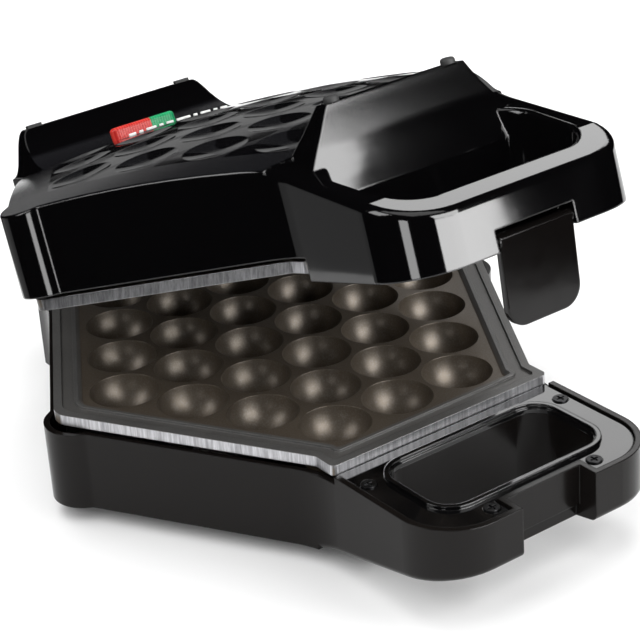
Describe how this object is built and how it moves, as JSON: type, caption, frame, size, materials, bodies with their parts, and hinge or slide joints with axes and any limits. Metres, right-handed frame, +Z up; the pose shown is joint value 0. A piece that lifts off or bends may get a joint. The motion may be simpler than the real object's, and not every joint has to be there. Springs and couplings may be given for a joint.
{
  "type": "bubble waffle maker",
  "caption": "Electric bubble waffle maker: two hinged six-sided halves with rounded-cup plates, a looped handle on each and a drop latch that holds the lid shut.",
  "frame": {"origin": "on the table under the middle of the whole length and width, feet at z = 0", "axes": "+Z up, +Y from the handles towards the hinge, +X to the right seen from the handles"},
  "size_m": [0.2212, 0.319, 0.1769],
  "materials": {
    "base_plastic": "black, slightly satin",
    "lid_plastic": "black, glossy, with a satin dimpled top",
    "cover_plastic": "black, glossy",
    "plate_coating": "dark non-stick coating with bare machined edges",
    "black_screws": "blackened steel",
    "plain_steel": "bare steel",
    "sheet_metal": "bare sheet",
    "element_steel": "heat-tinted tube",
    "lead_sleeve": "silicone sleeve",
    "red_window": "clear red",
    "green_window": "clear green",
    "lamp_glass": "clear",
    "inner_plastic": "heat-proof, off-white",
    "latch_plastic": "black, glossy",
    "foot_rubber": "black rubber",
    "brass": "bare",
    "gland_rubber": "black",
    "woven_sleeve": "woven glass sleeve"
  },
  "bodies": {
    "base": {"lower_housing": "base_plastic", "lower_plate": "plate_coating", "lower_handle_cover": "cover_plastic", "lower_cover_screws": "black_screws", "lower_heating_element": "element_steel", "lower_element_straps": "plain_steel", "lower_strap_screws": "plain_steel", "lower_heat_reflector": "sheet_metal", "lower_reflector_washers": "plain_steel", "lower_thermostat": "plain_steel", "lower_leads": "lead_sleeve", "hinge_pins": "plain_steel", "rubber_feet": "foot_rubber", "terminal_block": "inner_plastic", "terminal_screws": "brass", "cord_gland": "gland_rubber", "thermal_fuse": "plain_steel", "fuse_sleeve": "woven_sleeve", "fuse_clip": "plain_steel"},
    "lid": {"upper_housing": "lid_plastic", "upper_plate": "plate_coating", "upper_handle_cover": "cover_plastic", "upper_cover_screws": "black_screws", "upper_heating_element": "element_steel", "upper_element_straps": "plain_steel", "upper_strap_screws": "plain_steel", "upper_heat_reflector": "sheet_metal", "upper_reflector_washers": "plain_steel", "upper_thermostat": "plain_steel", "upper_leads": "lead_sleeve", "red_lens": "red_window", "green_lens": "green_window", "indicator_lamps": "lamp_glass", "lamp_holder": "inner_plastic", "lamp_screws": "plain_steel", "latch_pin": "plain_steel", "rear_fin_feet": "foot_rubber", "front_fin_feet": "foot_rubber"},
    "latch": {"latch": "latch_plastic"}
  },
  "joints": [
    {"name": "lid_hinge", "type": "hinge", "parent": "base", "child": "lid", "pos_m": [0, 0.15054, 0.064], "axis": [-1, 0, 0], "range_deg": [-17.5, 82.5]},
    {"name": "latch_hinge", "type": "hinge", "parent": "lid", "child": "latch", "pos_m": [0, -0.14767, 0.14072], "axis": [-1, 0, 0], "range_deg": [-5.7, 60]}
  ]
}
